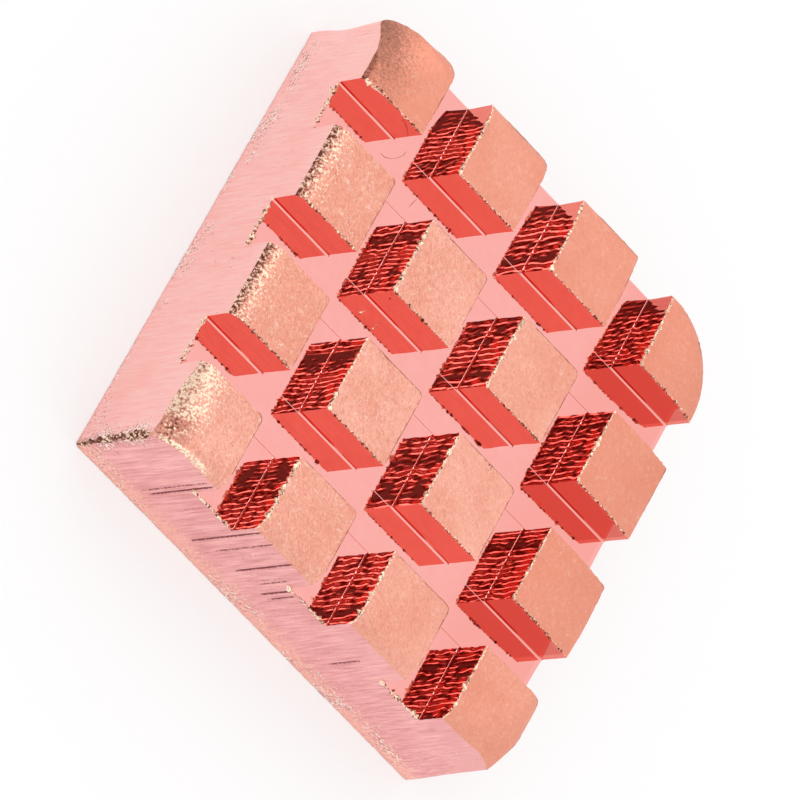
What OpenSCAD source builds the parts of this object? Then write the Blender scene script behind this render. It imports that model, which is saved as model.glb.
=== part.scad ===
// Square pin fin heat sink for a small chip, one piece of copper.
// A blank is sheared from thick sheet, which rolls its top edges over and leaves its lower
// edges sharp. A saw then cuts slots both ways, and what stands between them is the pins.
// Origin: centre of the flat lower face, which is bonded to the chip. +Z points up the pins,
// and the front is the side that faces -Y.

/* [Pins] */
// Number of pins along X
pins_x = 4; // [2:1:8]
// Number of pins along Y
pins_y = 4; // [2:1:8]
// Width of each square pin
pin_w = 1.5; // [1.3:0.05:3]
// Height of the pins above the slot floor
pin_h = 0.7; // [0.5:0.05:1.5]

/* [Saw slots] */
// Width of the slots between the pins
slot_w = 1; // [0.6:0.05:2]
// Radius that the saw leaves at the foot of each pin
root_r = 0.06; // [0.04:0.01:0.2]
// How much deeper the slots along X are cut than the slots along Y
slot_step = 0.015; // [0.005:0.005:0.03]

/* [Base] */
// Thickness of the base under the slots along Y
base_h = 1.65; // [1:0.05:4]
// How far the lower edge of the left side lies in from its upper edge
left_lean = 0.07; // [0.02:0.01:0.2]
// How far the lower edge of the back lies in from its upper edge
back_lean = 0.13; // [0.02:0.01:0.2]

/* [Rolled top edges] */
// How far the roll reaches in from the front and left
roll_reach = 0.3; // [0.2:0.02:0.5]
// How far the top has dropped at the front and left
roll_drop = 0.17; // [0.08:0.01:0.2]
// How far the roll at the right reaches in
right_roll_reach = 0.28; // [0.2:0.02:0.5]
// How far the top has dropped at the right
right_roll_drop = 0.11; // [0.08:0.01:0.2]
// How far the roll at the back reaches in
back_roll_reach = 0.4; // [0.2:0.02:0.5]
// How far the top has dropped at the back
back_roll_drop = 0.2; // [0.08:0.02:0.3]

/* [Front left corner] */
// Radius of the upright corner
front_left_r = 0.05; // [0.03:0.01:0.3]
// How far the worn top reaches in from the corner, along the diagonal
front_left_reach = 0.9; // [0.6:0.05:1]
// How far the top has dropped at the corner
front_left_drop = 0.46; // [0.2:0.02:0.5]

/* [Front right corner] */
// Radius of the upright corner
front_right_r = 0.1; // [0.03:0.01:0.3]
// How far the worn top reaches in from the corner, along the diagonal
front_right_reach = 0.85; // [0.6:0.05:1]
// How far the top has dropped at the corner
front_right_drop = 0.38; // [0.2:0.02:0.5]

/* [Back left corner] */
// Radius of the upright corner
back_left_r = 0.25; // [0.03:0.01:0.3]
// How far the worn top reaches in from the corner, along the diagonal
back_left_reach = 1.15; // [0.6:0.05:1.2]
// How far the top has dropped at the corner
back_left_drop = 0.56; // [0.2:0.02:0.6]

/* [Back right corner] */
// Radius of the upright corner, which is rounded off over its whole height
back_right_r = 1.4; // [0.6:0.05:1.5]

/* [Hidden] */
$fn = 96;
copper = [0.94, 0.66, 0.56];
pitch = pin_w + slot_w;
len_x = pins_x * pitch - slot_w;
len_y = pins_y * pitch - slot_w;
total_h = base_h + pin_h;
over = 1; // how far each cutter stands out of the metal

// Section of the metal above a rolled edge. The side of the block is x = 0 and its top is y = 0.
// The arc leaves the top level at x = -reach and has dropped by drop at x = 0.
module roll_section(reach, drop) {
    arc_r = (reach * reach + drop * drop) / (2 * drop);
    difference() {
        translate([-reach, -drop])
            square([reach + over, drop + over]);
        translate([-reach, -arc_r])
            circle(arc_r);
    }
}

// Metal above a straight rolled edge that runs along Y through the origin
module straight_roll(reach, drop, length) {
    rotate([90, 0, 0])
        linear_extrude(length + 2 * over, center = true)
            roll_section(reach, drop);
}

// Metal outside a round upright corner, whose square corner is at the origin
module outside_corner(radius) {
    translate([-radius, -radius, -over])
        linear_extrude(total_h + 2 * over)
            difference() {
                square(radius + over);
                circle(radius);
            }
}

// Puts its children at the square corner on the given sides, turned so that x and y point out
module at_corner(side_x, side_y) {
    translate([side_x * len_x / 2, side_y * len_y / 2, 0])
        mirror([side_x < 0 ? 1 : 0, 0, 0])
            mirror([0, side_y < 0 ? 1 : 0, 0])
                children();
}

// A corner whose upright edge is nearly sharp and whose top is worn down across the diagonal
module worn_corner(radius, reach, drop) {
    inset = radius * (1 - sqrt(0.5)); // along x and along y, from the square corner to the round
    outside_corner(radius);
    translate([-inset, -inset, total_h])
        rotate([0, 0, 45])
            straight_roll(reach, drop, pitch);
}

// A corner that is round over its whole height, with the rolled edge carried round it
module round_corner(radius) {
    outside_corner(radius);
    translate([-radius, -radius, total_h])
        rotate_extrude(angle = 90)
            translate([radius, 0])
                roll_section(roll_reach, roll_drop);
}

// Metal outside one side of the block, which runs along Y at x = 0: the part beyond the leaning
// face, and the part above the rolled top edge
module side_cutter(length, lean, reach, drop) {
    rotate([90, 0, 0])
        linear_extrude(length + 2 * over, center = true)
            polygon([[0, total_h], [-lean, 0], [-lean, -over], [over, -over], [over, total_h]]);
    translate([0, 0, total_h])
        straight_roll(reach, drop, length);
}

// The sheared blank, before the saw
module blank() {
    difference() {
        translate([-len_x / 2, -len_y / 2, 0])
            cube([len_x, len_y, total_h]);
        translate([len_x / 2, 0, 0])
            side_cutter(len_y, 0, right_roll_reach, right_roll_drop);
        rotate([0, 0, 90])
            translate([len_y / 2, 0, 0])
                side_cutter(len_x, back_lean, back_roll_reach, back_roll_drop);
        rotate([0, 0, 180])
            translate([len_x / 2, 0, 0])
                side_cutter(len_y, left_lean, roll_reach, roll_drop);
        rotate([0, 0, 270])
            translate([len_y / 2, 0, 0])
                side_cutter(len_x, 0, roll_reach, roll_drop);
        at_corner(-1, -1)
            worn_corner(front_left_r, front_left_reach, front_left_drop);
        at_corner(1, -1)
            worn_corner(front_right_r, front_right_reach, front_right_drop);
        at_corner(-1, 1)
            worn_corner(back_left_r, back_left_reach, back_left_drop);
        at_corner(1, 1)
            round_corner(back_right_r);
    }
}

// Section of a saw slot: flat floor at y = 0, a rounded root at each side, open at the top
module slot_section() {
    translate([-slot_w / 2, root_r])
        square([slot_w, pin_h + over]);
    translate([root_r - slot_w / 2, 0])
        square([slot_w - 2 * root_r, pin_h]);
    for (side = [-1, 1])
        translate([side * (slot_w / 2 - root_r), root_r])
            circle(root_r);
}

// One slot that runs along X through the origin, with its floor at z = 0
module slot(length) {
    rotate([90, 0, 90])
        linear_extrude(length + 2 * over, center = true)
            slot_section();
}

// All the slots
module slots() {
    for (i = [1:pins_y - 1])
        translate([0, i * pitch - (len_y + slot_w) / 2, base_h - slot_step])
            slot(len_x);
    for (i = [1:pins_x - 1])
        translate([i * pitch - (len_x + slot_w) / 2, 0, base_h])
            rotate([0, 0, 90])
                slot(len_y);
}

module heat_sink() {
    color(copper)
        difference() {
            blank();
            slots();
        }
}

heat_sink();
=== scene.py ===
"""The finish of the pin fin heat sink.

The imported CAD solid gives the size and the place. One mesh stands for it. It is made the way the
real part is: a sheared blank, less six saw cuts that leave chatter marks and burrs. Lengths in
this file are in millimetres, with the origin at the centre of the lower face, and the finished
mesh is scaled to metres at the end.
"""

import functools
import math

import bpy
import numpy as np
from mathutils import Matrix, Vector


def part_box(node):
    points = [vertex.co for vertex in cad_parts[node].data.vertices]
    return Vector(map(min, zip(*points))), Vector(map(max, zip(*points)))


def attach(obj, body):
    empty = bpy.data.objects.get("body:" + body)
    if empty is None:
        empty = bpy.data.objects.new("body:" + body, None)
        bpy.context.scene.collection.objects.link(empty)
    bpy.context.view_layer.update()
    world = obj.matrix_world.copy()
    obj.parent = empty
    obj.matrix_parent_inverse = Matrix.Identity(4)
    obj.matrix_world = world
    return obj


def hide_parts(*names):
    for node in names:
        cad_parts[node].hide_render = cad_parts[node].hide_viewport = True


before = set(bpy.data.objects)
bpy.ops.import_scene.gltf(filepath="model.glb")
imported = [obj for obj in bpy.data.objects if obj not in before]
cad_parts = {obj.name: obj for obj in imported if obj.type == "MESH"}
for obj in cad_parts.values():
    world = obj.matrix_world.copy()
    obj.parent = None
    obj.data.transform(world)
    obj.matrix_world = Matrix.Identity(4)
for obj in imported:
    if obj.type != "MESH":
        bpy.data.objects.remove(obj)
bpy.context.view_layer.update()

# ---------------------------------------------------------------- sizes, from the CAD box down

MM = 0.001
BOX_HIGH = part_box("heat_sink")[1]
HALF = BOX_HIGH[0] / MM  # half the side of the square plan
TOP = BOX_HIGH[2] / MM  # height of the pin tops
PIN = HALF / 3  # width of a pin
SLOT = HALF / 4.5  # width of a slot
PITCH = PIN + SLOT
PIN_H = 0.7
FLOOR = TOP - PIN_H  # floor of the slots along Y
FLOOR_STEP = 0.004  # the slots along X are this much deeper
ROOT_R = 0.045  # radius at the foot of the walls along X
CHATTER_ROOT_R = 0.02  # radius at the foot of the walls along Y
OVER = 0.5  # how far a cutter stands out of the metal
SLOT_CENTRES = (-PITCH, 0.0, PITCH)
LEFT_LEAN = 0.07  # how far the foot of the left side lies in from its top
BACK_LEAN = 0.13  # the same at the back
# Radii of the upright corners
CORNER_R = {"front_left": 0.05, "front_right": 0.1, "back_left": 0.25, "back_right": 1.4}
# Radius of each pin's back right corner, where the saw broke out: a row for each j, from the front
PIN_CORNER_R = (
    (0.1, 0.08, 0.1, 0.14),
    (0.07, 0.1, 0.1, 0.035),
    (0.06, 0.08, 0.1, 0.035),
    (0.27, 0.13, 0.035, 0.035),
)

# Chatter left by each of the three cuts along Y: pitch of the ridges, where along each pin they die
# down (0 at the front edge, 1 at the back edge), how deep they are against RIDGE_DEPTH, and how
# deep the finer crumbs between them are
CHATTER = ((0.104, 0.78, 1.3, 0.0042), (0.13, 0.18, 1.25, 0.0022), (0.112, 0.78, 1.35, 0.0045))

# Deep scores down the front side: x, lowest z, highest z, strength
SCORES = (
    (-3.18, 0.36, 2.2, 0.5),
    (-3.07, 0.52, 2.2, 0.9),
    (-2.62, 0.75, 1.6, 0.25),
    (-1.87, 0.35, 2.3, 0.75),
    (-1.56, 0.67, 2.3, 0.55),
    (-1.36, 1.0, 2.2, 0.25),
    (-1.04, 0.72, 2.3, 0.8),
    (-0.74, 0.9, 1.9, 0.3),
    (-0.66, 0.82, 1.86, 0.5),
    (-0.41, 0.77, 1.66, 1.0),
    (-0.28, 0.84, 1.6, 1.0),
    (1.43, 0.74, 1.7, 0.6),
)
SCORE_HALF_W = 0.02
SCORE_STATIONS = (-0.032, -0.012, 0.012, 0.032)  # extra mesh lines in and beside each score

# Hair-fine lines on the slot floors, and small pale flakes that lie there: x, y, length
HAIRS = (
    ((-3.1, 2.61), (-2.97, 2.62), (-2.86, 2.69), (-2.76, 2.78), (-2.68, 2.9), (-2.66, 3.02)),
    ((-2.08, 2.28), (-2.05, 2.42), (-2.03, 2.51)),
)
FLAKES = ((-1.93, 0.15, 0.13), (-1.57, 0.11, 0.06), (-1.55, 0.2, 0.05))

# ---------------------------------------------------------------- noise and small helpers


def noise(u, v, seed):
    """Smooth noise from -1 to 1 on a unit lattice."""
    table = np.random.default_rng(seed).uniform(-1, 1, (128, 128))
    u, v = np.broadcast_arrays(np.asarray(u, float), np.asarray(v, float))
    iu, iv = np.floor(u).astype(int), np.floor(v).astype(int)
    fu, fv = u - iu, v - iv
    fu, fv = fu * fu * (3 - 2 * fu), fv * fv * (3 - 2 * fv)
    iu, iv, ju, jv = iu % 128, iv % 128, (iu + 1) % 128, (iv + 1) % 128
    near = table[iu, iv] * (1 - fu) + table[ju, iv] * fu
    far = table[iu, jv] * (1 - fu) + table[ju, jv] * fu
    return near * (1 - fv) + far * fv


def relief_noise(u, v, size, height, seed):
    """Noise of the given height. size is the size of its lumps along u and v."""
    return height * noise(u / size[0], v / size[1], seed)


def ease(value, start, end):
    """0 at start, 1 at end, smooth between."""
    t = np.clip((value - start) / (end - start), 0, 1)
    return t * t * (3 - 2 * t)


def bell(value, centre, width):
    """1 at the centre, falling off over the width on both sides."""
    return np.exp(-(((value - centre) / width) ** 2))


def spot(x, y, centre, radius):
    """1 at the centre, falling off over the radius. The radius is one number or (x, y)."""
    rx, ry = (radius, radius) if np.isscalar(radius) else radius
    return np.exp(-(((x - centre[0]) / rx) ** 2) - ((y - centre[1]) / ry) ** 2)


def from_pin_edge(v):
    """Distance in from the low edge of the nearest pin, along X or Y, and the pin's number."""
    number = np.clip(np.floor((v + HALF + SLOT / 2) / PITCH), 0, 3)
    return v + HALF - number * PITCH, number


# ---------------------------------------------------------------- shape of the pin tops

# Rolled and worn top edges: how far each reaches in, and how far the top has dropped at its edge
FRONT_ROLL = (0.3, 0.17)
LEFT_ROLL = (0.3, 0.17)
LEFT_BEATEN = (0.3, 0.19)  # how much more the left roll has on the front left pin
RIGHT_ROLL = (0.3, 0.14)
RIGHT_SLOPE = (0.9, -0.04)  # how that changes behind the front right pin, to a gentle slope
BACK_ROLL = (0.4, 0.14)
BACK_SLOPE = (0.8, -0.04)  # how that changes along the right half of the back
BACK_LEFT_DROP = 0.13  # how much further the back has dropped on the back left pin
ROUND_ROLL = (0.3, 0.15)  # round the back right corner
WORN_CORNERS = (  # side in X, side in Y, upright corner, reach, drop
    (-1, -1, "front_left", 0.9, 0.46),
    (1, -1, "front_right", 0.9, 0.48),
    (-1, 1, "back_left", 1.15, 0.62),
)
RIGHT_OUT = 0.05  # how far the tops of the right side and the back stand out past the CAD's
BACK_OUT = 0.015

# Where each of those changes: along Y for the left and right, along X for the back
BEATEN_ENDS = (-3.75, -2.95)
RIGHT_SLOPE_STARTS = (-2.9, -2.1)
BACK_SLOPE_STARTS = (-0.4, 0.4)
BACK_LEFT_ENDS = (-3.9, -2.6)
ROUND_STARTS = (2.2, 2.9)  # along X and along Y

# Roughness of the tops: size of its lumps along X and Y, and its height
TOP_GRAIN = ((0.055, 0.055), 0.002)
TOP_WAVES = ((0.6, 0.6), 0.003)
LEFT_ROUGH = ((0.06, 0.075), 0.009)
HOLLOW = (-4.22, -4.16)  # a worn hollow in the front left corner
HOLLOW_R = 0.2
HOLLOW_DEPTH = 0.03
HOLLOW_ROUGH = ((0.06, 0.1), 0.02)
LIP_HEIGHT = 0.03  # the lip along the front edge of the front left pin
LIP_GROOVE = 0.018  # depth of the groove behind it
GRAIN_OVER_TOP = 0.004  # the grain stands no higher than this above the pin tops


def arc_drop(inward, reach, drop):
    """How far a rolled edge has dropped, at a distance inward from the side."""
    radius = (reach**2 + drop**2) / (2 * drop)
    u = np.clip(reach - inward, 0, reach)
    return radius - np.sqrt(radius**2 - u**2)


def across_corner(x, y, side_x, side_y, radius):
    """Distance in from a worn corner, along its diagonal."""
    inset = radius * (1 - math.sqrt(0.5))
    return ((HALF - inset - side_x * x) + (HALF - inset - side_y * y)) / math.sqrt(2)


def smooth_top(x, y):
    """Height of the blank's rolled and worn top, before the saw."""
    beaten = 1 - ease(y, *BEATEN_ENDS)
    slope_right, slope_back = ease(y, *RIGHT_SLOPE_STARTS), ease(x, *BACK_SLOPE_STARTS)
    further = BACK_LEFT_DROP * (1 - ease(x, *BACK_LEFT_ENDS))
    rolls = (
        (x + HALF, LEFT_ROLL, LEFT_BEATEN, beaten, 0),
        (HALF + RIGHT_OUT - x, RIGHT_ROLL, RIGHT_SLOPE, slope_right, 0),
        (HALF - y, BACK_ROLL, BACK_SLOPE, slope_back, further),
    )
    drops = [arc_drop(y + HALF, *FRONT_ROLL)]
    for inward, roll, change, share, extra in rolls:
        drops.append(
            arc_drop(inward, roll[0] + change[0] * share, roll[1] + change[1] * share + extra)
        )
    for side_x, side_y, corner, reach, drop in WORN_CORNERS:
        inward = across_corner(x, y, side_x, side_y, CORNER_R[corner])
        drops.append(arc_drop(inward, reach, drop))
    centre = HALF - CORNER_R["back_right"]
    beyond = np.hypot(np.maximum(x - centre, 0), np.maximum(y - centre, 0))
    round_drop = arc_drop(CORNER_R["back_right"] - beyond, *ROUND_ROLL)
    drops.append(round_drop * ease(np.minimum(x, y), *ROUND_STARTS))
    return TOP - np.max(drops, axis=0)


def front_left_lip(x, y):
    """Where the raised lip along the front edge of the front left pin is, from 0 to 1."""
    along = ease(x, -4.45, -4.3) * (1 - ease(x, -3.6, -3.1))
    return along * (y < -4.0)


def worn_top(x, y):
    """Height of the top with its grain and its uneven rolled edges."""
    z = smooth_top(x, y)
    z = z + relief_noise(x, y, *TOP_GRAIN, 11)
    z = z + relief_noise(x, y, *TOP_WAVES, 12)
    near_left = 1 - ease(x + HALF, 0.05, 0.45)
    z = z + near_left * relief_noise(x, y, *LEFT_ROUGH, 13)
    hollow = spot(x, y, HOLLOW, HOLLOW_R)
    z = z + hollow * (-HOLLOW_DEPTH + relief_noise(x, y, *HOLLOW_ROUGH, 14))
    inward = y + HALF
    groove = bell(inward, 0.12, 0.03)
    ridge = bell(inward, 0.045, 0.045)
    z = z + front_left_lip(x, y) * (LIP_HEIGHT * ridge - LIP_GROOVE * groove)
    return np.minimum(z, TOP + GRAIN_OVER_TOP)


# ---------------------------------------------------------------- shape of the saw's walls

BURR_OUT = 0.016  # how far a burr stands out into its slot
RIDGE_DEPTH = 0.05  # depth of the chatter ridges, as a share of their pitch
RIDGE_DRIFT = 0.31  # how far they wander over a short way, as a share of their pitch
QUIET_HALF_W = 0.075  # half width of the place where they die down, as a share of the pin


def chatter(marks, u, z, seed):
    """Marks of the vibrating saw: upright ridges that wander, break off and come back."""
    pitch, quiet, deep, crumb = marks
    inward, number = from_pin_edge(u)
    share = inward / PIN + relief_noise(u, z, (0.2, 0.2), 0.07, seed + 6)
    drift = relief_noise(u, z, (0.5, 3.0), 0.05, seed)
    drift = drift + relief_noise(u, z, (0.16, 0.16), RIDGE_DRIFT * pitch, seed + 1)
    ridges = np.sin(2 * math.pi * (u + drift) / pitch)
    strength = 1 - 0.95 * bell(share, quiet, QUIET_HALF_W)
    strength = strength * np.where(number == 3, 1 - 0.8 * ease(share, 0.72, 0.9), 1)
    broken = np.clip(0.75 + relief_noise(u, z, (0.1, 0.13), 1.25, seed + 4), 0.05, 1.6)
    depth = RIDGE_DEPTH * pitch * deep * broken
    return strength * (depth * ridges + relief_noise(u, z, (0.055, 0.07), crumb, seed + 3))


def ground(u, z, seed):
    """A wall that the saw left almost flat."""
    waves = relief_noise(u, z, (0.7, 0.5), 0.0016, seed)
    return waves + relief_noise(u, z, (0.12, 0.3), 0.0004, seed + 1)


def burr(u, height, seed):
    """How far the metal is smeared out into the slot just below the top edge."""
    ragged = np.clip(0.3 + 0.9 * noise(u / 0.06, 0.5, seed), 0, 1.2)
    return BURR_OUT * ragged * ease(height, 0.9, 1.0)


# ---------------------------------------------------------------- meshes


def make_mesh(name, points, faces):
    """A new object in the scene."""
    mesh = bpy.data.meshes.new(name)
    mesh.from_pydata(points.tolist(), [], faces)
    piece = bpy.data.objects.new(name, mesh)
    bpy.context.scene.collection.objects.link(piece)
    return piece


def closed_rings(name, rings):
    """A closed mesh from rings of points, one after another along the piece, with fan caps."""
    count, size, _ = rings.shape
    points = rings.reshape(-1, 3)
    points = np.vstack([points, rings[0].mean(axis=0), rings[-1].mean(axis=0)])
    i, j = np.meshgrid(np.arange(count - 1), np.arange(size), indexing="ij")
    here, beside = i * size + j, i * size + (j + 1) % size
    quads = np.stack([here, beside, beside + size, here + size], axis=-1).reshape(-1, 4)
    k = np.arange(size)
    k_next = (k + 1) % size
    low_cap = np.stack([np.full(size, count * size), k_next, k], axis=-1)
    last_ring = (count - 1) * size
    high_cap = np.stack([np.full(size, count * size + 1), last_ring + k, last_ring + k_next], -1)
    return make_mesh(name, points, quads.tolist() + low_cap.tolist() + high_cap.tolist())


def top_lines():
    """Grid lines across the pins and slots, closer together near the edges of the pins."""
    fine, coarse, before, beyond, outside = 0.03, 0.07, 0.07, 0.14, 0.2
    lines = [[-HALF - outside]]
    for number in range(4):
        low = number * PITCH - HALF
        high = low + PIN
        lines.append(np.arange(low - before, low + beyond, fine))
        lines.append(np.arange(low + beyond, high - beyond, coarse))
        lines.append(np.arange(high - beyond, high + before, fine))
        if number < 3:
            lines.append(np.linspace(high + 0.1, high + SLOT - 0.1, 4))
    return np.concatenate([*lines, [HALF + outside]])


def top_slab():
    """The metal under the worn top, square in plan and wider than the part."""
    lines = top_lines()
    x, y = np.meshgrid(lines, lines, indexing="ij")
    n = len(lines)
    points = np.stack([x, y, worn_top(x, y)], axis=-1).reshape(-1, 3)
    i, j = np.meshgrid(np.arange(n - 1), np.arange(n - 1), indexing="ij")
    here = (i * n + j).reshape(-1)
    faces = np.stack([here, here + n, here + n + 1, here + 1], axis=-1).tolist()
    k = np.arange(n)
    rim = np.concatenate([k * n, (n - 1) * n + k[1:], (k[::-1] * n + n - 1)[1:], k[::-1][1:-1]])
    below = points[rim].copy()
    below[:, 2] = -OVER
    start, m = len(points), len(rim)
    points = np.vstack([points, below, [0, 0, -OVER]])
    for a in range(m):
        b = (a + 1) % m
        faces.append([int(rim[b]), int(rim[a]), start + a, start + b])
        faces.append([start + b, start + a, start + m])
    return make_mesh("blank", points, faces)


def front_stations(start, end):
    """Places along the front side: even, with extra ones in and beside each score."""
    step, least_gap = 0.036, 0.008
    even = np.arange(start, end, step)
    extra = [x + offset for x, *_ in SCORES for offset in SCORE_STATIONS]
    crowded = np.min(np.abs(even[:, None] - np.array(extra)[None, :]), axis=1) < least_gap
    return np.sort(np.concatenate([even[~crowded], extra]))


# Uneven forms of the sheared sides
BULGE_OUT = 0.06  # the right side, near the second pin from the front
BULGE_Y, BULGE_HALF_W = -1.3, 0.9
TUCK_IN = 0.075  # both sides, near the front right corner
WAIST_IN = 0.055  # both sides, a third of the way up near the back left corner
BACK_LEFT_FOOT_R = 0.06  # the back left corner is sharper at its foot
BACK_LEFT_MORE_R = 0.24  # how much larger its radius is higher up
LEFT_BACK_LEAN = 0.03  # how much further the left side leans in at its back end
RIGHT_SIDE_OUT = 0.055  # how far the right side stands out above its foot
FRONT_FLARE = 0.015  # how far the foot of the front stands out at its left end
FRONT_FLARE_MORE = 0.03  # and how much more it does at its right end
OUT_FROM, OUT_TO = 0.6, 1.8  # heights between which the right side comes out
SCORE_DEPTH = 0.016
SIDES_IN = 0.004  # the sides lie in by this much, so that their streaks stay near the CAD's
FOOT_EDGE = 0.02  # bevel round the lower edge


def right_bulge(y):
    """How far the right side stands out near the second pin from the front."""
    return BULGE_OUT * bell(np.asarray(y), BULGE_Y, BULGE_HALF_W)


def corner_tuck(x, y):
    """How far the sides lie in near the front right corner."""
    return TUCK_IN * spot(x, y, (HALF, -HALF), 0.6)


def outline(z):
    """Plan of the blank at height z, anticlockwise from the front left, with outward normals."""
    foot = 1 - z / TOP  # 1 at the foot, 0 at the top
    left = -HALF + LEFT_LEAN * foot
    left_back = -HALF + (LEFT_LEAN + LEFT_BACK_LEAN) * foot
    back = HALF + BACK_OUT - (BACK_LEAN + BACK_OUT) * foot
    right = HALF + RIGHT_SIDE_OUT * ease(z, OUT_FROM, OUT_TO)
    r_front_left, r_front_right = CORNER_R["front_left"], CORNER_R["front_right"]
    r_back_left = BACK_LEFT_FOOT_R + BACK_LEFT_MORE_R * ease(z, 0.1, 1.6)
    r_round = CORNER_R["back_right"]
    runs = []

    def straight(start, end, normal, steps, side):
        t = np.arange(steps)[:, None] / steps
        place = np.array(start) * (1 - t) + np.array(end) * t
        runs.append((place, np.tile(normal, (steps, 1)), np.full(steps, side)))

    def arc(centre, radius, start, steps):
        angle = np.radians(start + 90 * np.arange(steps) / steps)
        normal = np.stack([np.cos(angle), np.sin(angle)], axis=-1)
        runs.append((np.array(centre) + radius * normal, normal, np.full(steps, 4)))

    x_front = front_stations(-HALF + LEFT_LEAN + r_front_left + 0.01, HALF - r_front_right)
    flare = (FRONT_FLARE + FRONT_FLARE_MORE * ease(x_front, -HALF, HALF)) * foot
    place = np.column_stack([x_front, -HALF - flare])
    runs.append((place, np.tile((0, -1), (len(place), 1)), np.zeros(len(place), int)))
    low = -HALF - flare[-1]
    arc((right - r_front_right, low + r_front_right), r_front_right, 270, 6)
    straight((right, low + r_front_right), (right, back - r_round), (1, 0), 90, 1)
    arc((right - r_round, back - r_round), r_round, 0, 50)
    straight((right - r_round, back), (left_back + r_back_left, back), (0, 1), 90, 2)
    arc((left_back + r_back_left, back - r_back_left), r_back_left, 90, 12)
    straight((left_back, back - r_back_left), (left, -HALF + r_front_left), (-1, 0), 260, 3)
    arc((left + r_front_left, -HALF + r_front_left), r_front_left, 180, 5)
    return [np.concatenate(part) for part in zip(*runs)]


def score_depth(x, z):
    """Strength of the scores at a place on the front side."""
    depth = np.zeros(np.broadcast(x, z).shape)
    for at, low, high, strength in SCORES:
        reach = ease(z, low, low + 0.25) * (1 - ease(z, high - 0.1, high))
        depth = np.maximum(depth, strength * reach * (np.abs(x - at) < SCORE_HALF_W))
    return depth


def side_relief(x, y, z, side):
    """How far a sheared side stands out or in: streaks down the height, a rough lower band."""
    along = np.where((side == 0) | (side == 2), x, y)
    streaks = relief_noise(along, z, (0.05, 1.2), 0.0022, 21)
    streaks = streaks + relief_noise(along, z, (0.16, 2.2), 0.002, 22)
    rough = relief_noise(along, z, (0.08, 0.07), 0.005 * (1 - ease(z, 0.12, 0.36)), 23)
    amount = np.where(side == 0, 1.0, np.where(side == 3, 0.9, 0.7))
    scored = np.where(side == 0, score_depth(x, z), 0)
    waist = WAIST_IN * spot(x, y, (-HALF, HALF), 0.9) * bell(z, 0.75, 0.45)
    bulge = np.where(side == 1, right_bulge(y) * ease(z, OUT_FROM, OUT_TO), 0)
    tuck = corner_tuck(x, y) * ease(z, 0.2, 1.9)
    return amount * streaks + rough - SIDES_IN - SCORE_DEPTH * scored - waist + bulge - tuck


def column():
    """The blank seen from above, carried up its height, with the marks on its sides."""
    low, high = np.linspace(FOOT_EDGE, 0.36, 6), np.linspace(0.5, TOP + 0.1, 14)
    heights = np.concatenate([[0], low, high])
    rings = []
    for z in heights:
        place, normal, side = outline(z)
        out = side_relief(place[:, 0], place[:, 1], z, side)
        edge = -FOOT_EDGE * (1 - min(z / FOOT_EDGE, 1))
        place = place + normal * (out + edge)[:, None]
        rings.append(np.column_stack([place, np.full(len(place), z)]))
    return closed_rings("column", np.array(rings))


# Heights of the mesh lines up a wall, as shares of the wall: on the chatter walls, and on the rest
FINE_CLIMB = np.linspace(0.0, 1.0, 20)[1:]
COARSE_CLIMB = np.array([0.05, 0.3, 0.55, 0.8, 0.92, 1.0])


def saw_cut(name, centre, floor, along_y, wall, step, seed):
    """The metal that one pass of the saw takes out, from end to end."""
    stations = [np.array([-HALF - OVER])]
    for number in range(4):
        low = number * PITCH - HALF
        stations.append(np.arange(low - 0.04, low + PIN + 0.04, step))
        if number < 3:
            stations.append(np.linspace(low + PIN + 0.08, low + PITCH - 0.08, 5))
    stations.append(np.array([HALF + OVER]))
    u = np.concatenate(stations)[:, None]
    radius = CHATTER_ROOT_R if along_y else ROOT_R
    angle = np.radians([0, 45, 90])[None, :]
    halves = []
    for side in (-1, 1):
        climb = FINE_CLIMB if along_y and side == 1 else COARSE_CLIMB
        w_wall = centre + side * SLOT / 2
        x, y = (w_wall, u) if along_y else (u, w_wall)
        top = worn_top(np.broadcast_to(x, u.shape), np.broadcast_to(y, u.shape))
        foot = floor + radius
        z = foot + (top - foot) * climb[None, :]
        smear = burr(u, climb[None, :], seed + 5 + side)
        w = w_wall - side * (wall(u, z, seed) + smear)
        relief = wall(u, foot + 0 * u, seed) * np.sin(angle)
        w_root = centre + side * (SLOT / 2 - radius + radius * np.sin(angle) - relief)
        z_root = floor + radius * (1 - np.cos(angle)) + 0 * u
        w = np.hstack([w_root, w, w[:, -1:]])
        z = np.hstack([z_root, z, np.full_like(u, TOP + OVER)])
        halves.append((w, z))
    w = np.hstack([halves[1][0], halves[0][0][:, ::-1]])
    z = np.hstack([halves[1][1], halves[0][1][:, ::-1]])
    across = np.broadcast_to(u, w.shape)
    rings = np.stack([w, across, z] if along_y else [across, w, z], axis=-1)
    if along_y:
        rings = rings[:, ::-1]
    return closed_rings(name, rings)


def pin_far_corner(i, j):
    """Place of a pin's back right corner, and its radius."""
    y = HALF + 0.01 if j == 3 else j * PITCH - HALF + PIN
    x = HALF + RIGHT_OUT + right_bulge(y) if i == 3 else i * PITCH - HALF + PIN
    return x, y, PIN_CORNER_R[j][i]


def corner_arc(x, y, radius, steps=6):
    """Points round a pin's back right corner, from its right side to its back."""
    angle = np.radians(np.linspace(0, 90, steps))
    arc_x, arc_y = x - radius + radius * np.cos(angle), y - radius + radius * np.sin(angle)
    return np.column_stack([arc_x, arc_y])


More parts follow.
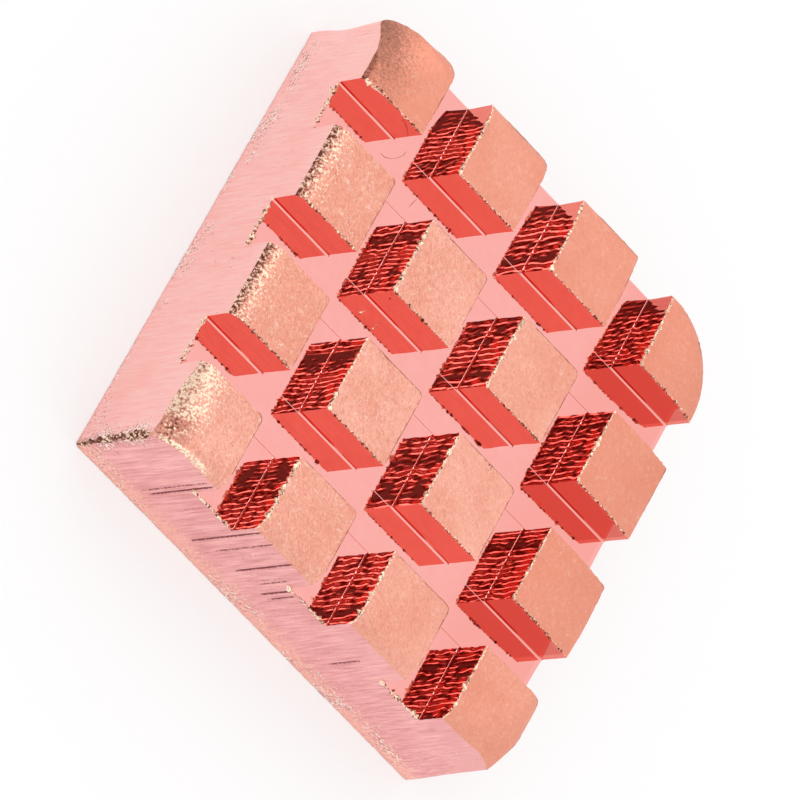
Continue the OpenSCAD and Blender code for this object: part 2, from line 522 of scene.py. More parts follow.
def pin_corner_cutter():
    """What is missing outside the rounded back right corners of the pins, in one mesh."""
    bite = 0.004  # how far each cutter reaches into the pin's two sides
    points, faces = [], []
    for i in range(4):
        for j in range(4):
            if i == j == 3:
                continue
            x, y, radius = pin_far_corner(i, j)
            plan = corner_arc(x - bite, y - bite, radius)
            plan = np.vstack([plan, [x + SLOT / 3, y + SLOT / 3]])
            n, start = len(plan), len(points)
            for z in (FLOOR + 0.08, TOP + 0.4):
                points.extend([px, py, z] for px, py in plan)
            faces.extend(
                [start + k, start + n + k, start + n + (k + 1) % n, start + (k + 1) % n]
                for k in range(n)
            )
            faces.append([start + k for k in range(n)])
            faces.append([start + n + k for k in reversed(range(n))])
    return make_mesh("pin_corners", np.array(points), faces)


def boolean(piece, tool, operation):
    """Adds a boolean with the tool to the piece's modifiers."""
    modifier = piece.modifiers.new(tool.name, "BOOLEAN")
    modifier.object = tool
    modifier.operation = operation
    modifier.solver = "MANIFOLD"


def sawn_blank():
    """The slab under the worn top, cut to the column, then sawn both ways."""
    piece = top_slab()
    tools = [column(), pin_corner_cutter()]
    for number, centre in enumerate(SLOT_CENTRES):
        wall, seed = functools.partial(chatter, CHATTER[number]), 100 + 40 * number
        tools.append(saw_cut(f"cut_y{number}", centre, FLOOR, True, wall, 0.0175, seed))
    for number, centre in enumerate(SLOT_CENTRES):
        low, seed = FLOOR - FLOOR_STEP, 300 + 40 * number
        tools.append(saw_cut(f"cut_x{number}", centre, low, False, ground, 0.03, seed))
    boolean(piece, tools[0], "INTERSECT")
    for tool in tools[2:] + tools[1:2]:
        boolean(piece, tool, "DIFFERENCE")
    graph = bpy.context.evaluated_depsgraph_get()
    mesh = bpy.data.meshes.new_from_object(piece.evaluated_get(graph))
    piece.modifiers.clear()
    piece.data = mesh
    for tool in tools:
        bpy.data.objects.remove(tool)
    return piece


# Kinds of torn metal: least radius, height of its lumps, then painted highlight, dark and soft
# painted shade
CHATTER_BURR = (0.004, 0.028, (0.68, 0.45, 0))  # along the tops of the chatter walls
CHATTER_BURR_FRONT = (0.004, 0.034, (0.68, 0.45, 0))  # the same on the front pins
GROUND_BURR = (0.004, 0.018, (0.4, 0.5, 0.3))  # along the tops of the walls that face the front
GROUND_BURR_LEFT = (0.004, 0.024, (0.4, 0.5, 0.3))  # the same on the left pins
NIB = (0.03, 0.02, (0.95, 0, 0))  # where those two meet
WORN_NIB = (0.022, 0.03, (0.85, 0.1, 0))  # at the front left of the back left pin
RIM = (0.007, 0.003, (0, 0, 1))  # along the right and the back of a pin's top
LEFT_SILL = (0.008, 0.034, (0.6, 0.4, 0))  # where a slot runs out at the left
FRONT_SILL = (0.006, 0.03, (0.55, 0.45, 0))  # where a slot runs out at the front
SILL_NIB = (0.03, 0.02, (0.9, 0.2, 0))
SHARP_CORNER = (0.022, 0.05, (0.4, 0.55, 0.9))  # down the sharp upright corner
SMUDGE = (0.012, 0.014, (0.8, 0, 0.3))
HAIR = (0.003, 0.001, (0, 0, 0.7))
FLAKE = (0.013, 0.008, (1, 0, 0))
THREAD_OVER_TOP = 0.04  # no thread stands higher than this above the pin tops


def bead(path, base, swell, seed, sides=6, step=0.022):
    """Rings of a ragged thread of smeared metal along a path.

    Its radius is base, plus swell times the height of its lumps. step is the way between rings.
    """
    lump = 2.7 * step  # length of one lump
    path = np.array(path, float)
    run = np.concatenate([[0], np.cumsum(np.linalg.norm(np.diff(path, axis=0), axis=1))])
    count = max(int(run[-1] / step), 4)
    t = np.linspace(0, 1, count)
    u = t * run[-1]
    centre = np.column_stack([np.interp(u, run, path[:, axis]) for axis in range(3)])
    direction = np.gradient(centre, axis=0)
    direction /= np.linalg.norm(direction, axis=1)[:, None]
    lumps = 0.4 + 0.9 * noise(u / lump, seed, 51) + 0.6 * noise(u / (0.47 * lump), seed, 52)
    lumps = np.clip(lumps, 0, 1.7)
    radius = (base + swell * lumps) * ease(np.minimum(t, 1 - t), -0.01, 0.04)
    side = np.cross(direction, (0.3, 0.2, 1.0) if abs(direction[0, 2]) < 0.9 else (1.0, 0.0, 0.0))
    side /= np.linalg.norm(side, axis=1)[:, None]
    other = np.cross(direction, side)
    centre = centre + side * (0.5 * radius * noise(u / 0.05, seed, 53))[:, None]
    angle = 2 * math.pi * np.arange(sides) / sides
    cos, sin = np.cos(angle)[None, :, None], np.sin(angle)[None, :, None]
    spin = side[:, None] * cos + other[:, None] * sin
    uneven = 1 + 0.35 * noise(u[:, None] / 0.04, angle[None, :] + seed, 54)
    rings = centre[:, None, :] + spin * (radius[:, None] * uneven)[:, :, None]
    rings[:, :, 2] = np.minimum(rings[:, :, 2], TOP + THREAD_OVER_TOP)
    return rings


def thread(path, kind, seed, **fineness):
    """Rings and finish of one thread of torn metal."""
    base, swell, finish = kind
    return bead(path, base, swell, seed, **fineness), finish


def on_top(x, y, sink=0.0):
    """Path over the worn top through places x, y."""
    x, y = np.broadcast_arrays(np.asarray(x, float), np.asarray(y, float))
    return np.column_stack([x, y, smooth_top(x, y) - sink])


def pin_threads(i, j):
    """Torn metal round the top of one pin."""
    x0, y0 = i * PITCH - HALF, j * PITCH - HALF
    x1, y1, radius = pin_far_corner(i, j)
    seed = 7 * i + 31 * j
    end = PIN - 0.05
    if i > 0:
        ys = np.linspace(y0 + (0.12 if j == 0 else 0.0), y0 + end, 8)
        yield thread(on_top(x0, ys), CHATTER_BURR if j else CHATTER_BURR_FRONT, seed)
    if j > 0:
        xs = np.linspace(x0 + (0.15 if i == 0 else 0.0), x0 + end, 8)
        yield thread(on_top(xs, y0), GROUND_BURR if i else GROUND_BURR_LEFT, seed + 3, step=0.015)
    if i == 0 and j == 3:
        path = on_top([x0 + 0.06, x0 + 0.5], [y0 + 0.01, y0 + 0.01], 0.01)
        yield thread(path, WORN_NIB, seed + 5)
    if i > 0 and j > 0:
        path = on_top([x0 - 0.01, x0 + 0.05], [y0 + 0.1, y0 - 0.015], 0.01)
        yield thread(path, NIB, seed + 5)
    if not (i == 3 and j == 3):
        turn = corner_arc(x1, y1, radius)
        clear = 0.4 if 3 in (i, j) else 0.03
        straight = np.linspace(y0 + clear, y1 - radius, 6)[:-1]
        out = right_bulge(straight) - right_bulge(y1) - corner_tuck(HALF, straight)
        xs = np.concatenate([x1 + out * (i == 3), turn[:, 0], [x0 + clear]])
        ys = np.concatenate([straight, turn[:, 1], [y1]])
        yield thread(on_top(xs, ys, 0.004), RIM, seed + 7, sides=4, step=0.05)


def sill_threads(number):
    """Torn metal where a slot runs out at the left, and where another runs out at the front."""
    centre = SLOT_CENTRES[number]
    low, high = centre - SLOT / 2, centre + SLOT / 2
    seed = 200 + 9 * number
    left = -HALF + LEFT_LEAN * (1 - FLOOR / TOP)
    front = -HALF - 0.01
    yield thread([(left, high, FLOOR), (left, low, FLOOR)], LEFT_SILL, seed)
    yield thread([(low, front, FLOOR), (high, front, FLOOR)], FRONT_SILL, seed + 2)
    path = [(low - 0.08, front, FLOOR + 0.01), (low + 0.05, front, FLOOR + 0.01)]
    yield thread(path, SILL_NIB, seed + 4)


def mark_threads():
    """The torn sharp upright corner, a smudge on the front, and hairs and flakes in the slots."""
    path = [(-HALF + LEFT_LEAN + 0.025, -HALF + 0.015, 0.01), (-HALF + 0.025, -HALF + 0.025, 1.9)]
    yield thread(path, SHARP_CORNER, 260, sides=8, step=0.04)
    path = [(3.6, -HALF - 0.025, 0.22), (3.87, -HALF - 0.025, 0.36)]
    yield thread(path, SMUDGE, 290, step=0.02)
    for path in HAIRS:
        path = [(x, y, FLOOR + 0.001) for x, y in path]
        yield thread(path, HAIR, 270, sides=4, step=0.03)
    for number, (x, y, length) in enumerate(FLAKES):
        path = [(x, y, FLOOR + 0.004), (x + 0.6 * length, y + 0.8 * length, FLOOR + 0.004)]
        yield thread(path, FLAKE, 280 + number, sides=5, step=0.015)


def all_threads():
    """Rings and finish of every thread of torn metal."""
    threads = []
    for i in range(4):
        for j in range(4):
            threads.extend(pin_threads(i, j))
    for number in range(3):
        threads.extend(sill_threads(number))
    threads.extend(mark_threads())
    return threads


def join_threads(piece, threads):
    """Adds the threads to the piece's mesh as closed tubes, as part of the same object."""
    tubes = [closed_rings(f"thread{number}", rings) for number, (rings, _) in enumerate(threads)]
    with bpy.context.temp_override(
        active_object=piece, object=piece, selected_editable_objects=[piece] + tubes
    ):
        bpy.ops.object.join()


# ---------------------------------------------------------------- masks for the finish, with its painted highlights and shade

# Each mask is the share of the surface that its flecks cover.


def in_front_pin(x, y):
    """Whether a place is on the front left pin."""
    return (x < -HALF + PIN + 0.02) & (y < -HALF + PIN + 0.02)


def on_pins(z):
    """Whether a height is above the slot floors."""
    return z > FLOOR + 0.05


def burr_glint_mask(x, y, z):
    """Painted highlights in pale cream flecks: beside the burrs, in the rolled left edge and on the
    worn lip.
    """
    in_x, pin_x = from_pin_edge(x)
    in_y, pin_y = from_pin_edge(y)
    near_top = ease(z - smooth_top(x, y), -0.04, -0.01)
    left = 0.6 * bell(in_x, 0, 0.035) * (pin_x > 0)
    front = 0.5 * bell(in_y, 0, 0.02) * (pin_y > 0)
    corner = np.exp(-((in_x / 0.07) ** 2) - (in_y / 0.06) ** 2) * (pin_x > 0) * (pin_y > 0)
    lip = 0.75 * front_left_lip(x, y) * bell(y + HALF, 0.05, 0.06)
    inward = x + HALF
    pale_left = 0.6 * in_front_pin(x, y) * (1 - ease(inward, 0.15, 1.1)) * ease(y, -4.3, -3.9)
    rolled = (0.42 - 0.2 * ease(inward, 0.15, 0.5)) * (1 - ease(inward, 0.4, 0.9)) * (y < 3)
    rolled = rolled * (y > -3)
    worn = 0.5 * spot(x, y, (-4.24, -4.16), (0.25, 0.25))
    return near_top * np.maximum.reduce([left, front, corner, lip, pale_left, rolled, worn])


def dark_shade_mask(x, y, z):
    """Dark brown painted shade in flecks, in the rolled left edge and in the worn corners."""
    inward = x + HALF
    strip = (0.55 - 0.3 * ease(inward, 0.03, 0.15)) * (1 - ease(inward, 0.12, 0.35))
    strip = strip * np.where(in_front_pin(x, y), 0.4, 1.0) * (1 - 0.6 * ease(y, 3.0, 3.3))
    front_left = 0.6 * spot(x, y, (-4.3, -4.24), (0.13, 0.2))
    back_left = 0.25 * spot(x, y, (-4.42, 3.9), (0.3, 0.6))
    bruise = 0.4 * spot(x, y, (1.33, -0.52), 0.12)
    return np.maximum.reduce([strip, front_left, back_left, bruise]) * on_pins(z)


def soft_shade_mask(x, y, z):
    """Soft brown painted shade on the back left pin, in the front left corner and in the left roll.
    """
    back_left = 1.3 * spot(x, y, (-4.5, 3.9), (0.55, 0.85))
    front_left = 0.6 * spot(x, y, (-4.28, -4.22), (0.25, 0.3))
    roll = 0.3 * (1 - ease(x + HALF, 0.05, 0.3))
    return np.maximum.reduce([back_left, front_left, roll]) * on_pins(z)


def edge_shade_mask(x, y, z):
    """Brown painted shade on the two seen sides, beside the sharp upright edge between them."""
    return 0.8 * np.exp(-((np.maximum(x, y) + HALF - 0.03) / 0.09)) * (1 - ease(z, 1.7, 2.0))


def score_shade_mask(x, y, z):
    """Dark painted shade in the scores."""
    return np.where(y < -HALF + 0.05, 1.25 * score_depth(x, z), 0)


def speck_glint_mask(x, y, z):
    """Painted highlight specks with painted shadows, on the sheared sides: thick along the lower
    edge and by the sharp corner.
    """
    along = np.where(y < -HALF + 0.1, x, y)
    patchy = np.clip(0.65 + 0.75 * noise(along / 0.4, z / 0.35, 61), 0, 1.3)
    low = 0.38 * (1 - ease(z, 0.2, 0.75))
    corner = 0.4 * (1 - ease(np.maximum(x, y) + HALF, 0.1, 0.6))
    return np.maximum.reduce([low, corner, 0.11 + 0 * x]) * patchy


def band_mask(x, y, z):
    """The rougher, more orange band along the lower edge of the front."""
    return 0.68 * (1 - ease(z, 0.15, 0.75)) * (y < -HALF + 0.1)


# How much painted shade deepens the copper on each pin: a row for each j, from the front, and i
# along the row
PAINTED_SHADES = np.array([
    (0.0, 0.05, 0.05, 0.35),
    (0.2, 0.0, 0.0, 0.5),
    (0.2, 0.0, 0.05, 0.5),
    (0.5, 0.38, 0.42, 0.5),
])


def pin_place(v):
    """The pin's number along X or Y, running on smoothly from one to the next across the slots."""
    edges = [number * PITCH - HALF + side for number in range(4) for side in (0, PIN)]
    return np.interp(v, edges, np.repeat(np.arange(4.0), 2))


def painted_shade_mask(x, y, z):
    """Painted shade that deepens the copper: pin by pin on the tops, and below them all along the
    right-hand row.
    """
    i, j = pin_place(x), pin_place(y)
    i0, j0 = np.minimum(i, 2).astype(int), np.minimum(j, 2).astype(int)
    near = PAINTED_SHADES[j0, i0] * (1 - i + i0) + PAINTED_SHADES[j0, i0 + 1] * (i - i0)
    far = PAINTED_SHADES[j0 + 1, i0] * (1 - i + i0) + PAINTED_SHADES[j0 + 1, i0 + 1] * (i - i0)
    tops = near * (1 - j + j0) + far * (j - j0)
    inside = np.maximum(np.abs(x), np.abs(y)) < HALF - 0.03
    return np.where(z > smooth_top(x, y) - 0.03, tops, ease(i, 2, 3) * inside)


def calm_mask(x, y, z):
    """How much weaker the grain is: the pins at the right and at the back are smoother."""
    across = np.interp(x, (-3.75, -1.25, 1.25, 3.75), (0.0, 0.1, 0.35, 0.45))
    return np.maximum(across, 0.45 * ease(y, 2.5, 3.1)) * (z > FLOOR + 0.1)


# Every mask but band and calm paints light or shade: pale highlight flecks, brown painted shade, a
# deeper painted shade pin by pin
MASKS = {
    "burr": burr_glint_mask,
    "dark_shade": dark_shade_mask,
    "soft_shade": soft_shade_mask,
    "smear": edge_shade_mask,
    "score_shade": score_shade_mask,
    "speck_glint": speck_glint_mask,
    "band": band_mask,
    "painted_shade": painted_shade_mask,
    "calm": calm_mask,
}


def add_masks(mesh, threads, solid_points):
    """Stores every mask on the mesh's vertices. The threads' vertices follow the solid's."""
    places = np.empty(len(mesh.vertices) * 3)
    mesh.vertices.foreach_get("co", places)
    place = places.reshape(-1, 3).T
    masks = {name: mask(*place) for name, mask in MASKS.items()}
    start = solid_points
    # each thread's shares of painted highlight, dark painted shade and soft painted shade
    for rings, (pale, dark_share, soft_share) in threads:
        end = start + rings.shape[0] * rings.shape[1] + 2  # 2 for the middles of its end caps
        masks["burr"][start:end] = pale
        masks["dark_shade"][start:end] = dark_share
        masks["soft_shade"][start:end] = soft_share
        start = end
    for name, values in masks.items():
        layer = mesh.attributes.new(name, "FLOAT", "POINT")
        layer.data.foreach_set("value", np.clip(values, 0, 1).astype(np.float32))


# ---------------------------------------------------------------- materials


def link(tree, pairs):
    """Joins each output socket to its input socket."""
    for source, target in pairs:
        tree.links.new(source, target)


def node(tree, kind, **values):
    """A shader node with its settings (lower case) and its sockets (as named, _ for a space)."""
    made = tree.nodes.new(kind)
    for name, value in values.items():
        if hasattr(made, name):
            setattr(made, name, value)
        else:
            made.inputs[name.replace("_", " ")].default_value = value
    return made


def blend_in(tree, colour, factor, tint):
    """Mixes a flat tint into the colour."""
    mix = node(tree, "ShaderNodeMix", data_type="RGBA")
    mix.inputs["B"].default_value = (*tint, 1)
    link(tree, [(factor, mix.inputs["Factor"]), (colour, mix.inputs["A"])])
    return mix.outputs["Result"]


def flecked(tree, mask, fine, sign, soft):
    """A mask broken up into flecks, at the noise's peaks (sign 1) or at its dips (sign -1).

    The mask gives the share that is covered, because the noise runs from about 0.3 to 0.7.
    """
    noise_span = 0.38
    edge = 0.71 if sign > 0 else -0.29  # what signed noise and mask add up to where a fleck starts
    fade_out = 0.15  # below this the mask also weakens its flecks
    read = node(tree, "ShaderNodeAttribute", attribute_name=mask)
    spread = node(tree, "ShaderNodeMath", operation="MULTIPLY")
    spread.inputs[1].default_value = noise_span
    total = node(tree, "ShaderNodeMath", operation="MULTIPLY_ADD")
    total.inputs[1].default_value = sign
    present = node(tree, "ShaderNodeMapRange", From_Max=fade_out)
    both = node(tree, "ShaderNodeMath", operation="MULTIPLY")
    gate = node(
        tree,
        "ShaderNodeMapRange",
        interpolation_type="SMOOTHSTEP",
        From_Min=edge - soft,
        From_Max=edge + soft,
    )
    link(tree, [
        (read.outputs["Fac"], spread.inputs[0]),
        (fine, total.inputs[0]),
        (spread.outputs["Value"], total.inputs[2]),
        (total.outputs["Value"], gate.inputs["Value"]),
        (read.outputs["Fac"], present.inputs["Value"]),
        (gate.outputs["Result"], both.inputs[0]),
        (present.outputs["Result"], both.inputs[1]),
    ])
    return both.outputs["Value"]


def noise_at(tree, place, size, turn=0.0, shift=(0, 0, 0), **settings):
    """Noise over the object's own coordinates. size is its grain along each axis, in mm."""
    mapping = node(
        tree,
        "ShaderNodeMapping",
        vector_type="TEXTURE",
        Rotation=(0, 0, math.radians(turn)),
        Location=[s * MM for s in shift],
        Scale=[s * MM for s in size],
    )
    texture = node(tree, "ShaderNodeTexNoise", Scale=1, **settings)
    link(tree, [
        (place, mapping.inputs["Vector"]),
        (mapping.outputs["Vector"], texture.inputs["Vector"]),
    ])
    return texture.outputs["Fac"]


def curly_lines(tree, place, shift, calm, strength):
    """Short curly hair-fine lines, where a soft noise passes through its middle value."""
    soft = noise_at(tree, place, (0.13, 0.13, 0.13), 0, shift, Detail=1, Distortion=0.8)
    off = node(tree, "ShaderNodeMath", operation="SUBTRACT")
    off.inputs[1].default_value = 0.5
    size = node(tree, "ShaderNodeMath", operation="ABSOLUTE")
    line = node(tree, "ShaderNodeMapRange", From_Min=0.006, From_Max=0.026, To_Min=1, To_Max=0)
    where = noise_at(tree, place, (0.16, 0.16, 0.16), 0, shift, Detail=1)
    gate = node(tree, "ShaderNodeMapRange", From_Min=0.42, From_Max=0.52, To_Max=strength)
    both = node(tree, "ShaderNodeMath", operation="MULTIPLY")
    less = node(tree, "ShaderNodeMapRange", From_Max=0.6, To_Min=1, To_Max=0.15)
    total = node(tree, "ShaderNodeMath", operation="MULTIPLY")
    link(tree, [
        (soft, off.inputs[0]),
        (off.outputs["Value"], size.inputs[0]),
        (size.outputs["Value"], line.inputs["Value"]),
        (where, gate.inputs["Value"]),
        (line.outputs["Result"], both.inputs[0]),
        (gate.outputs["Result"], both.inputs[1]),
        (calm, less.inputs["Value"]),
        (both.outputs["Value"], total.inputs[0]),
        (less.outputs["Result"], total.inputs[1]),
    ])
    return total.outputs["Value"]


PATCH = 1.1  # size of the soft patches
GRAIN_SHARE = 0.75  # how much of the tone is the grain's, where the rest is the patches'
FLECK = (0.05, 0.05, 0.05)

# Curly lines in the grain of the pin tops, dark ones and pale painted highlights: tint, strength
# and where the pattern starts
STROKES = (((0.50, 0.19, 0.12), 0.7, (0.3, 0.1, 0.0)), ((1.0, 0.86, 0.74), 1.0, (0.0, 0.7, 0.2)))

# Painted light and shade, and the band, over the copper: its mask, tint, at peaks or dips of the
# flecks, softness of each fleck
# soft brown painted shade
SOFT_SHADE = ("soft_shade", (0.36, 0.15, 0.10), -1, 0.3)
# dark brown painted shade, in the dips of the flecks
DARK_SHADE = ("dark_shade", (0.17, 0.055, 0.035), -1, 0.05)
# pale cream painted highlight on the torn metal
BURR_GLINT = ("burr", (1.0, 0.84, 0.64), 1, 0.05)
# dark painted shade down the scores
SCORE_SHADE = ("score_shade", (0.24, 0.06, 0.065), 1, 0.12)
# brown painted shade beside the sharp edge
EDGE_SHADE = ("smear", (0.36, 0.15, 0.10), -1, 0.15)
BAND = ("band", (0.97, 0.53, 0.43), 1, 0.1)
# pale painted highlight specks, and SPECK_SHADE their painted shadows
SPECK_GLINT = ("speck_glint", (1.0, 0.88, 0.80), 1, 0.04)
SPECK_SHADE = ("speck_glint", (0.45, 0.19, 0.17), 1, 0.03)
SPECK_SHIFT = (0.015, 0.015, -0.022)  # the shade of a speck lies this far beside it


def copper(name, tone, deep, shade_tint, rough, size, bump, spread, marks=(), turn=0.0, curl=0.0,
           stroke=0.0):
    """Bare copper in two tones: soft patches and a fine grain, then painted shade, then marks.

    tone and deep are its two colours and the third one that of its painted shade, rough its lowest
    and highest roughness, size and turn the grain's, bump the strength and the depth in mm of its
    relief, and spread half the span of noise from one tone to the other. curl bends the grain, and
    stroke is the strength of its curly lines. The marks are painted highlights and shade, and a
    band.
    """
    material = bpy.data.materials.new(name)
    material.use_nodes = True
    tree = material.node_tree
    shader = tree.nodes["Principled BSDF"]
    shader.inputs["Metallic"].default_value = 1.0
    place = node(tree, "ShaderNodeTexCoord").outputs["Object"]
    patches = noise_at(tree, place, (PATCH,) * 3, Detail=4)
    grain = noise_at(tree, place, size, turn, Detail=3, Roughness=0.65, Distortion=curl)
    calm = node(tree, "ShaderNodeAttribute", attribute_name="calm")
    evened = node(tree, "ShaderNodeMix", data_type="FLOAT")
    evened.inputs["B"].default_value = 0.5
    link(tree, [(calm.outputs["Fac"], evened.inputs["Factor"]), (grain, evened.inputs["A"])])
    fine = evened.outputs["Result"]
    mixed = node(tree, "ShaderNodeMix", data_type="FLOAT", Factor=GRAIN_SHARE)
    contrast = node(tree, "ShaderNodeMapRange", From_Min=0.5 - spread, From_Max=0.5 + spread)
    tones = node(tree, "ShaderNodeMix", data_type="RGBA")
    tones.inputs["A"].default_value = (*deep, 1)
    tones.inputs["B"].default_value = (*tone, 1)
    painted_shade = node(tree, "ShaderNodeAttribute", attribute_name="painted_shade")
    link(tree, [
        (patches, mixed.inputs["A"]),
        (fine, mixed.inputs["B"]),
        (mixed.outputs["Result"], contrast.inputs["Value"]),
        (contrast.outputs["Result"], tones.inputs["Factor"]),
    ])
    # the deeper tone laid in here is painted shade
    colour = blend_in(tree, tones.outputs["Result"], painted_shade.outputs["Fac"], shade_tint)
    if stroke:
        for tint, share, shift in STROKES:
            lines = curly_lines(tree, place, shift, calm.outputs["Fac"], share * stroke)
            colour = blend_in(tree, colour, lines, tint)
    fleck = noise_at(tree, place, FLECK, Detail=3, Roughness=0.7)
    for mark in marks:
        mask, tint, sign, soft = mark
        spots = fleck
        if mark is SPECK_SHADE:
            spots = noise_at(tree, place, FLECK, 0, SPECK_SHIFT, Detail=3, Roughness=0.7)
        colour = blend_in(tree, colour, flecked(tree, mask, spots, sign, soft), tint)
    gloss = node(tree, "ShaderNodeMapRange", To_Min=rough[0], To_Max=rough[1])
    relief = node(tree, "ShaderNodeBump", Strength=bump[0], Distance=bump[1] * MM)
    link(tree, [
        (colour, shader.inputs["Base Color"]),
        (fine, gloss.inputs["Value"]),
        (gloss.outputs["Result"], shader.inputs["Roughness"]),
        (fine, relief.inputs["Height"]),
        (relief.outputs["Normal"], shader.inputs["Normal"]),
    ])
    return material


SIDE_GRAIN = (0.04, 0.04, 0.65)  # drawn out down the height of a side
MATERIALS = [
    copper("slot_floor", (0.985, 0.44, 0.41), (0.96, 0.41, 0.375), (0.95, 0.39, 0.35),
           (0.02, 0.05), (0.25, 0.25, 0.25), (0.03, 0.002), 0.15),
    copper("sawn_wall", (0.91, 0.23, 0.178), (0.81, 0.185, 0.137), (0.73, 0.13, 0.097),
           (0.04, 0.08), (0.3, 0.3, 0.03), (0.05, 0.002), 0.12),
    copper("pin_top", (0.98, 0.54, 0.425), (0.775, 0.29, 0.20), (0.76, 0.235, 0.135),
           (0.4, 0.6), (0.035, 0.075, 0.05), (0.75, 0.014), 0.14, (SOFT_SHADE, DARK_SHADE, BURR_GLINT), 45,
           curl=1.2, stroke=0.42),
    # the left side's copper is painted lighter than the front's, for the light that falls on it
    copper("left_side", (1.0, 0.63, 0.59), (0.97, 0.47, 0.43), (0.97, 0.5, 0.46),
           (0.35, 0.5), SIDE_GRAIN, (0.5, 0.006), 0.15, (EDGE_SHADE, SPECK_SHADE, SPECK_GLINT)),
    copper("front_side", (1.0, 0.54, 0.52), (0.76, 0.31, 0.31), (0.88, 0.43, 0.41),
           (0.35, 0.5), SIDE_GRAIN, (0.5, 0.006), 0.13, (BAND, SCORE_SHADE, EDGE_SHADE, SPECK_SHADE, SPECK_GLINT)),
    copper("other_side", (0.95, 0.48, 0.44), (0.83, 0.36, 0.32), (0.8, 0.35, 0.3),
           (0.35, 0.5), SIDE_GRAIN, (0.5, 0.005), 0.15, (SPECK_SHADE, SPECK_GLINT)),
    copper("underside", (0.93, 0.45, 0.40), (0.86, 0.39, 0.33), (0.85, 0.38, 0.32),
           (0.4, 0.55), (0.08, 0.08, 0.08), (0.3, 0.004), 0.15),
]
FLOORS, WALLS, TOPS, LEFT, FRONT, OTHER, UNDER = range(7)


def paint(mesh, solid_points):
    """Gives each face its finish from where it is and which way it faces."""
    count = len(mesh.polygons)
    centre, normal = np.empty(count * 3), np.empty(count * 3)
    mesh.polygons.foreach_get("center", centre)
    mesh.polygons.foreach_get("normal", normal)
    corners = np.array([p.vertices[0] for p in mesh.polygons])
    x, y, z = centre.reshape(-1, 3).T
    nx, ny, nz = normal.reshape(-1, 3).T
    kind = np.full(count, OTHER)
    kind[(nx < -0.7) & (x < -HALF + 0.2)] = LEFT
    kind[(ny < -0.7) & (y < -HALF + 0.2)] = FRONT
    near = 0.03
    in_slot_x = np.min([np.abs(x - c) for c in SLOT_CENTRES], axis=0) < SLOT / 2 + near
    in_slot_y = np.min([np.abs(y - c) for c in SLOT_CENTRES], axis=0) < SLOT / 2 + near
    inside = (np.abs(x) < HALF - near) | (np.abs(y) < HALF - near)
    sawn = (in_slot_x & (np.abs(nx) > np.abs(ny))) | (in_slot_y & (np.abs(ny) > np.abs(nx)))
    kind[sawn & inside & (z > FLOOR - 0.02)] = WALLS
    kind[(nz > 0.6) & (np.abs(z - FLOOR) < near)] = FLOORS
    kind[(z > FLOOR + 0.1) & (np.abs(z - worn_top(x, y)) < near) & (nz > 0.2)] = TOPS
    kind[nz < -0.9] = UNDER
    kind[corners >= solid_points] = TOPS
    mesh.materials.clear()
    for material in MATERIALS:
        mesh.materials.append(material)
    mesh.polygons.foreach_set("material_index", kind.astype(np.int32))
    flat = ((kind == FLOORS) & (nz > 0.9999)) | (kind == UNDER)
    mesh.set_sharp_from_angle(angle=math.radians(50))
    mesh.polygons.foreach_set("use_smooth", ~flat)


# ---------------------------------------------------------------- the part

sink = sawn_blank()
sink.name = "sawn_heat_sink"
solid_points = len(sink.data.vertices)
threads = all_threads()
join_threads(sink, threads)
mesh = sink.data
mesh.validate()
add_masks(mesh, threads, solid_points)
paint(mesh, solid_points)
mesh.transform(Matrix.Scale(MM, 4))
mesh.update()
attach(sink, "root")
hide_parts("heat_sink")

# ---------------------------------------------------------------- studio


def plain(name, colour, glow, glow_colour=(1, 1, 1)):
    """A matt material that glows."""
    material = bpy.data.materials.new(name)
    material.use_nodes = True
    shader = material.node_tree.nodes["Principled BSDF"]
    shader.inputs["Base Color"].default_value = (*colour, 1)
    shader.inputs["Roughness"].default_value = 0.9
    shader.inputs["Specular IOR Level"].default_value = 0.0
    shader.inputs["Emission Color"].default_value = (*glow_colour, 1)
    shader.inputs["Emission Strength"].default_value = glow
    return material


# Curved panels, seen in reflections only: name, ends in degrees round from +X towards +Y, edges in
# degrees above the horizon, glow, colour, distance in metres
CARDS = (
    ("grey_card", (131, 141), (20, 72), 0.17, (1.0, 0.8, 0.8), 0.45),
    ("edge_card", (119, 131), (20, 72), 0.75, (1.0, 0.7, 0.7), 0.45),
    ("dark_card", (130, 158), (10, 72), 0.14, (1.0, 0.2, 0.15), 0.5),
    ("warm_card", (158, 198), (24, 66), 0.46, (1.0, 0.42, 0.42), 0.5),
    ("back_lamp", (84, 126), (28, 68), 2.7, (1, 1, 1), 0.5),
    ("front_lamp", (176, 212), (50, 80), 2.4, (1, 1, 1), 0.5),
)


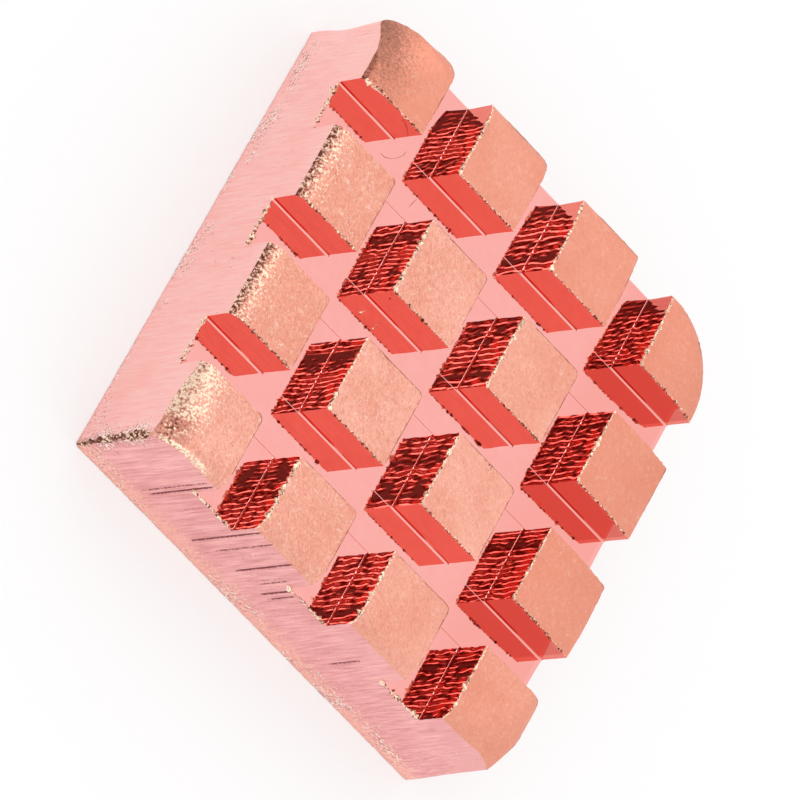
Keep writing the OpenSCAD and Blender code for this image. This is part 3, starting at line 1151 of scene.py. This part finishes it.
def card(name, turns, heights, glow, glow_colour, away):
    """One of the curved panels."""
    turn, height = np.radians(np.meshgrid(np.linspace(*turns, 9), np.linspace(*heights, 9)))
    points = away * np.stack(
        [np.cos(height) * np.cos(turn), np.cos(height) * np.sin(turn), np.sin(height)], axis=-1
    )
    low_left = [9 * row + column for row in range(8) for column in range(8)]
    faces = [[a, a + 1, a + 10, a + 9] for a in low_left]
    panel = make_mesh(name, points.reshape(-1, 3), faces)
    panel.data.materials.append(plain(name, (0, 0, 0), glow, glow_colour))
    panel.visible_camera = False
    panel.visible_diffuse = False
    panel.visible_shadow = False


FLOOR_CORNERS = np.array([(-2, -2, 0), (2, -2, 0), (2, 2, 0), (-2, 2, 0)])
FLOOR_GLOW = 0.51  # with the light on its grey, the floor is as white as the world
floor = make_mesh("studio_floor", FLOOR_CORNERS, [[0, 1, 2, 3]])
floor.data.materials.append(plain("studio_floor", (0.5, 0.5, 0.5), FLOOR_GLOW))
for settings in CARDS:
    card(*settings)

world = bpy.data.worlds.new("studio")
world.use_nodes = True
world.node_tree.nodes["Background"].inputs["Color"].default_value = (1, 1, 1, 1)
world.node_tree.nodes["Background"].inputs["Strength"].default_value = 1.0
bpy.context.scene.world = world
bpy.context.scene.view_settings.view_transform = "Standard"

# ---------------------------------------------------------------- camera

# Solved from the corners of the pins and slots in the photo
CAMERA_AT = (-0.098102, -0.093617, 0.150498)
CAMERA_RIGHT = Vector((0.60783, 0.42956, 0.66785))
CAMERA_UP = Vector((-0.62779, 0.77496, 0.07292))
CAMERA_BACK = Vector((-0.48623, -0.46360, 0.74071))
CAMERA_LENS = 548.6
CAMERA_SENSOR = 36

camera = bpy.data.objects.new("camera", bpy.data.cameras.new("camera"))
camera.data.lens = CAMERA_LENS
camera.data.sensor_width = CAMERA_SENSOR
camera.data.clip_start = 0.01
camera.data.clip_end = 10
turn = Matrix((CAMERA_RIGHT, CAMERA_UP, CAMERA_BACK)).transposed().to_4x4()
camera.matrix_world = Matrix.Translation(CAMERA_AT) @ turn
bpy.context.scene.collection.objects.link(camera)
bpy.context.scene.camera = camera
